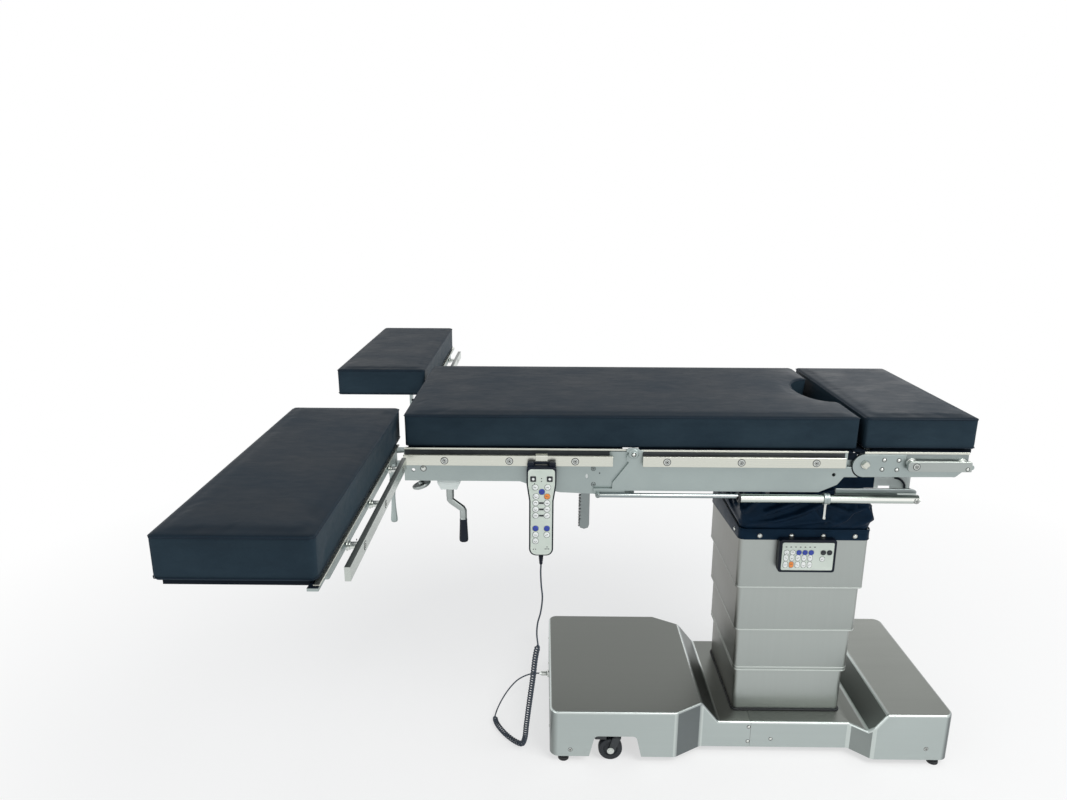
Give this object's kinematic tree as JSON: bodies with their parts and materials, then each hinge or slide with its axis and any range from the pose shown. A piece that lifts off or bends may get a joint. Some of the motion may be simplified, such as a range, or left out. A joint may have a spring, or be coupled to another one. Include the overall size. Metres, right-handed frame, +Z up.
{
  "type": "operating table",
  "caption": "Electro-hydraulic operating table with a telescopic column on a low wheeled base, tilting and sliding top, spread leg sections, side rails and a wired hand control.",
  "frame": {"origin": "on the floor under the middle of the table's box at rest, the free cord left out", "axes": "+X along the top towards the head section, +Y across the top away from the side with the hand control, +Z up"},
  "size_m": [1.685, 1.912, 0.969],
  "materials": {
    "base_cover": "satin",
    "column_cover": "satin",
    "chassis": "matte",
    "bright_steel": "gloss",
    "satin_aluminium": "satin",
    "pale_paint": "satin",
    "upholstery": "satin",
    "bellows_cloth": "matte",
    "case_plastic": "satin",
    "keypad_film": "satin",
    "cord_rubber": "satin",
    "wheel_rubber": "matte"
  },
  "bodies": {
    "base": {"base_cover_left": "base_cover", "base_cover_right": "base_cover", "base_chassis": "chassis", "hydraulic_unit": "chassis", "column_cover_1": "column_cover", "lift_cylinder": "chassis", "handset_socket": "bright_steel", "cord_plug": "bright_steel", "cord_lower": "cord_rubber", "curly_cord": "cord_rubber", "cord_upper": "cord_rubber"},
    "stage_2": {"column_cover_2": "column_cover"},
    "stage_3": {"column_cover_3": "column_cover"},
    "column_top": {"column_cover_4": "column_cover", "column_head": "chassis", "lift_ram": "bright_steel", "bellows": "bellows_cloth", "bellows_band": "bellows_cloth", "panel_case": "case_plastic", "panel_keypad": "keypad_film"},
    "yoke": {"tilt_yoke": "bright_steel"},
    "cradle": {"tilt_cradle": "pale_paint", "slide_cylinder": "bright_steel"},
    "slide_lock": {"slide_lock_lever": "bright_steel"},
    "centre": {"centre_frame": "satin_aluminium", "slide_rod": "bright_steel", "centre_rail_near": "bright_steel", "centre_rail_far": "bright_steel", "centre_pad": "upholstery", "pad_fold": "upholstery"},
    "back": {"back_frame": "satin_aluminium", "back_rail_near": "bright_steel", "back_rail_far": "bright_steel", "back_pad": "upholstery", "crank_housing": "pale_paint", "handset_case": "case_plastic", "handset_keypad": "keypad_film"},
    "kidney": {"kidney_bridge": "satin_aluminium"},
    "crank": {"kidney_crank": "bright_steel"},
    "knob": {"clamp_knob": "satin_aluminium"},
    "head": {"head_frame": "satin_aluminium", "head_rail_near": "bright_steel", "head_rail_far": "bright_steel", "head_pad": "upholstery"},
    "leg_carrier_near": {"leg_carrier_near": "bright_steel"},
    "leg_near": {"leg_frame_near": "satin_aluminium", "leg_pad_near": "upholstery"},
    "lever_near": {"leg_lever_near": "satin_aluminium"},
    "leg_carrier_far": {"leg_carrier_far": "bright_steel"},
    "leg_far": {"leg_frame_far": "satin_aluminium", "leg_pad_far": "upholstery"},
    "lever_far": {"leg_lever_far": "satin_aluminium"},
    "swivel_left_near": {"caster_fork_left_near": "bright_steel"},
    "wheel_left_near": {"caster_wheel_left_near": "wheel_rubber"},
    "swivel_left_far": {"caster_fork_left_far": "bright_steel"},
    "wheel_left_far": {"caster_wheel_left_far": "wheel_rubber"},
    "swivel_right_near": {"caster_fork_right_near": "bright_steel"},
    "wheel_right_near": {"caster_wheel_right_near": "wheel_rubber"},
    "swivel_right_far": {"caster_fork_right_far": "bright_steel"},
    "wheel_right_far": {"caster_wheel_right_far": "wheel_rubber"}
  },
  "joints": [
    {"name": "lift", "type": "slide", "parent": "base", "child": "column_top", "axis": [0, 0, 1], "range_m": [-0.3, 0.02], "deforming": ["cord_upper", "curly_cord"]},
    {"name": "stage_3_lift", "type": "slide", "parent": "base", "child": "stage_3", "axis": [0, 0, 1], "range_m": [-0.2002, 0.0136]},
    {"name": "stage_2_lift", "type": "slide", "parent": "base", "child": "stage_2", "axis": [0, 0, 1], "range_m": [-0.1002, 0.0069]},
    {"name": "end_tilt", "type": "hinge", "parent": "column_top", "child": "yoke", "pos_m": [0.4325, 0, 0.7355], "axis": [0, -1, 0], "range_deg": [-25, 25], "deforming": ["bellows"]},
    {"name": "side_tilt", "type": "hinge", "parent": "yoke", "child": "cradle", "pos_m": [0.4325, 0, 0.7355], "axis": [1, 0, 0], "range_deg": [-18, 18]},
    {"name": "top_slide", "type": "slide", "parent": "cradle", "child": "centre", "axis": [1, 0, 0], "range_m": [0, 0.25]},
    {"name": "slide_lock_turn", "type": "hinge", "parent": "cradle", "child": "slide_lock", "pos_m": [0.4275, -0.292, 0.7765], "axis": [1, 0, 0], "range_deg": [-10, 35]},
    {"name": "back_raise", "type": "hinge", "parent": "centre", "child": "back", "pos_m": [-0.0325, 0, 0.872], "axis": [0, 1, 0], "range_deg": [-35, 70], "deforming": ["pad_fold"]},
    {"name": "crank_turn", "type": "hinge", "parent": "back", "child": "crank", "pos_m": [-0.4645, -0.25, 0.77], "axis": [0, 0, 1], "range_deg": [0, 1350]},
    {"name": "kidney_lift", "type": "slide", "parent": "back", "child": "kidney", "axis": [0, 0, 1], "range_m": [0, 0.0451], "deforming": ["back_pad"]},
    {"name": "knob_turn", "type": "hinge", "parent": "back", "child": "knob", "pos_m": [-0.5335, -0.25, 0.8], "axis": [0, 0, 1], "range_deg": [0, 360]},
    {"name": "head_raise", "type": "hinge", "parent": "centre", "child": "head", "pos_m": [0.5115, 0, 0.863], "axis": [0, -1, 0], "range_deg": [-14, 30], "deforming": ["head_pad"]},
    {"name": "leg_spread_near", "type": "hinge", "parent": "back", "child": "leg_carrier_near", "pos_m": [-0.615, -0.2345, 0.852], "axis": [0, 0, -1], "range_deg": [0, 90]},
    {"name": "leg_fold_near", "type": "hinge", "parent": "leg_carrier_near", "child": "leg_near", "pos_m": [-0.615, -0.2705, 0.852], "axis": [1, 0, 0], "range_deg": [-15, 90]},
    {"name": "leg_lever_turn_near", "type": "hinge", "parent": "leg_carrier_near", "child": "lever_near", "pos_m": [-0.615, -0.2705, 0.852], "axis": [1, 0, 0], "range_deg": [-25, 18]},
    {"name": "leg_spread_far", "type": "hinge", "parent": "back", "child": "leg_carrier_far", "pos_m": [-0.615, 0.2345, 0.852], "axis": [0, 0, 1], "range_deg": [0, 90]},
    {"name": "leg_fold_far", "type": "hinge", "parent": "leg_carrier_far", "child": "leg_far", "pos_m": [-0.615, 0.2705, 0.852], "axis": [-1, 0, 0], "range_deg": [-15, 90]},
    {"name": "leg_lever_turn_far", "type": "hinge", "parent": "leg_carrier_far", "child": "lever_far", "pos_m": [-0.615, 0.2705, 0.852], "axis": [-1, 0, 0], "range_deg": [-25, 18]},
    {"name": "caster_swivel_left_near", "type": "hinge", "parent": "base", "child": "swivel_left_near", "pos_m": [-0.0385, -0.226, 0.09], "axis": [0, 0, 1], "continuous": true},
    {"name": "caster_roll_left_near", "type": "hinge", "parent": "swivel_left_near", "child": "wheel_left_near", "pos_m": [-0.0545, -0.226, 0.0326], "axis": [0, 1, 0], "continuous": true},
    {"name": "caster_swivel_left_far", "type": "hinge", "parent": "base", "child": "swivel_left_far", "pos_m": [-0.0385, 0.226, 0.09], "axis": [0, 0, 1], "continuous": true},
    {"name": "caster_roll_left_far", "type": "hinge", "parent": "swivel_left_far", "child": "wheel_left_far", "pos_m": [-0.0545, 0.226, 0.0326], "axis": [0, 1, 0], "continuous": true},
    {"name": "caster_swivel_right_near", "type": "hinge", "parent": "base", "child": "swivel_right_near", "pos_m": [0.7535, -0.185, 0.09], "axis": [0, 0, 1], "continuous": true},
    {"name": "caster_roll_right_near", "type": "hinge", "parent": "swivel_right_near", "child": "wheel_right_near", "pos_m": [0.7375, -0.185, 0.0326], "axis": [0, 1, 0], "continuous": true},
    {"name": "caster_swivel_right_far", "type": "hinge", "parent": "base", "child": "swivel_right_far", "pos_m": [0.7535, 0.185, 0.09], "axis": [0, 0, 1], "continuous": true},
    {"name": "caster_roll_right_far", "type": "hinge", "parent": "swivel_right_far", "child": "wheel_right_far", "pos_m": [0.7375, 0.185, 0.0326], "axis": [0, 1, 0], "continuous": true}
  ],
  "couplings": [
    {"joint": "stage_3_lift", "follows": "lift", "ratio": 0.66667},
    {"joint": "stage_2_lift", "follows": "lift", "ratio": 0.33333},
    {"joint": "kidney_lift", "follows": "crank_turn", "m_per_rad": 0.0019099}
  ]
}
